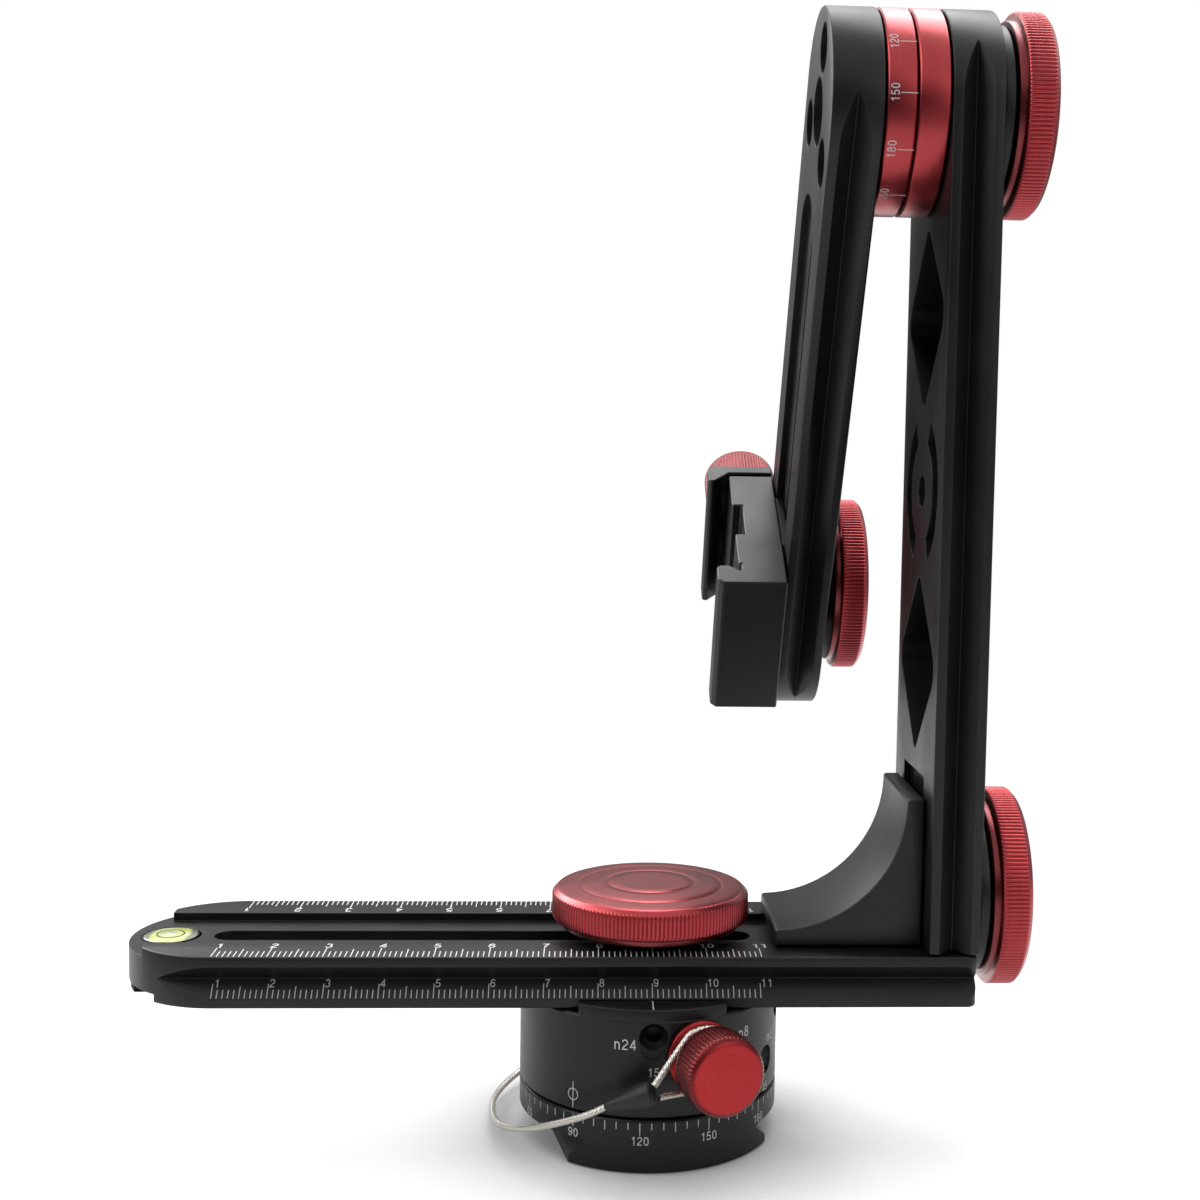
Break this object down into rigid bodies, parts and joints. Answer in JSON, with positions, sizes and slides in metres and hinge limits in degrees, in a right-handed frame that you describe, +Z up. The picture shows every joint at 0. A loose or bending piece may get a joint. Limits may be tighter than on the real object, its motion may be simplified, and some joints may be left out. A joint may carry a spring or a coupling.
{
  "type": "panoramic tripod head",
  "caption": "Panoramic head: indexed pan base, grooved nodal rail with ruler, upright with red tilt drum, and a tilting camera arm with a dovetail clamp.",
  "frame": {"origin": "On the pan axis, at the underside of the pan base, where the tripod screw enters", "axes": "+Z up along the pan axis; +X along the horizontal rail towards the upright; +Y away from the index knob"},
  "size_m": [0.1704, 0.1366, 0.2139],
  "materials": {
    "black": "satin black anodised",
    "red": "satin red anodised",
    "steel": "turned",
    "brass": "turned",
    "polymer": "matte",
    "sleeve": "matte",
    "wire": "braided",
    "fluid": "clear yellow-green"
  },
  "bodies": {
    "base": {"pan_base": "black", "tripod_bush": "steel", "pan_bearing": "polymer", "pan_spindle": "steel", "thrust_washer": "brass", "spindle_nut": "steel", "detent_ring": "brass"},
    "turntable": {"rotator_body": "black", "rail_stud": "steel", "rail_collar": "black", "lanyard_wire": "wire", "lanyard_screw": "steel"},
    "index_grip": {"index_knob": "red"},
    "index_pin": {"index_plunger": "steel", "lanyard_loop": "wire", "lanyard_sleeve": "sleeve"},
    "rail_grip": {"rail_knob": "red"},
    "rail_frame": {"rail": "black", "level_housing": "steel", "level_vial": "fluid", "end_stop": "black", "corner_bracket": "black", "bracket_screw_left": "steel", "bracket_screw_right": "steel", "upright": "black", "lower_stud": "steel", "lower_collar": "black", "hub_ring": "red", "tilt_bearing": "polymer", "hub_screw_top": "steel", "hub_screw_back": "steel", "hub_screw_front": "steel", "tilt_collar": "black"},
    "lower_grip": {"lower_knob": "red"},
    "arm": {"camera_arm": "black", "dial_ring": "red", "tilt_spindle": "steel", "arm_screw_top": "steel", "arm_screw_back": "steel", "arm_screw_front": "steel"},
    "tilt_grip": {"tilt_knob": "red"},
    "clamp": {"clamp_body": "black", "clamp_bolt": "steel", "arm_collar": "black"},
    "arm_grip": {"arm_knob": "red"},
    "jaw": {"moving_jaw": "black", "guide_pin_upper": "steel", "guide_pin_lower": "steel"},
    "jaw_grip": {"clamp_knob": "red"}
  },
  "joints": [
    {"name": "pan", "type": "hinge", "parent": "base", "child": "turntable", "pos_m": [0, 0, 0], "axis": [0, 0, 1], "continuous": true},
    {"name": "index_slide", "type": "slide", "parent": "turntable", "child": "index_pin", "axis": [0.3355, -0.9421, 0], "range_m": [0, 0.0056]},
    {"name": "index_turn", "type": "hinge", "parent": "index_pin", "child": "index_grip", "pos_m": [0, 0, 0.022], "axis": [0.3355, -0.9421, 0], "range_deg": [0, 2520]},
    {"name": "rail_slide", "type": "slide", "parent": "turntable", "child": "rail_frame", "axis": [1, 0, 0], "range_m": [-0.0034, 0.077]},
    {"name": "rail_knob_turn", "type": "hinge", "parent": "turntable", "child": "rail_grip", "pos_m": [0, 0, 0.0396], "axis": [0, 0, 1], "range_deg": [0, 360]},
    {"name": "lower_knob_turn", "type": "hinge", "parent": "rail_frame", "child": "lower_grip", "pos_m": [0.0634, 0, 0.0472], "axis": [1, 0, 0], "range_deg": [0, 360]},
    {"name": "tilt", "type": "hinge", "parent": "rail_frame", "child": "arm", "pos_m": [0.0448, 0, 0.1949], "axis": [1, 0, 0], "continuous": true},
    {"name": "tilt_knob_turn", "type": "hinge", "parent": "arm", "child": "tilt_grip", "pos_m": [0.0634, 0, 0.1949], "axis": [1, 0, 0], "range_deg": [0, 360]},
    {"name": "clamp_slide", "type": "slide", "parent": "arm", "child": "clamp", "axis": [0, -0.5219, 0.853], "range_m": [0, 0.065]},
    {"name": "arm_knob_turn", "type": "hinge", "parent": "clamp", "child": "arm_grip", "pos_m": [0.0407, 0.05704, 0.10167], "axis": [1, 0, 0], "range_deg": [0, 360]},
    {"name": "jaw_slide", "type": "slide", "parent": "clamp", "child": "jaw", "axis": [0, 0.853, 0.5219], "range_m": [-0.0008, 0.004]},
    {"name": "jaw_turn", "type": "hinge", "parent": "jaw", "child": "jaw_grip", "pos_m": [0.024, 0.05704, 0.10167], "axis": [0, 0.853, 0.5219], "range_deg": [-360, 1800]}
  ],
  "couplings": [
    {"joint": "index_turn", "follows": "index_slide", "rad_per_m": 7853.9},
    {"joint": "jaw_turn", "follows": "jaw_slide", "rad_per_m": 7853.9}
  ]
}
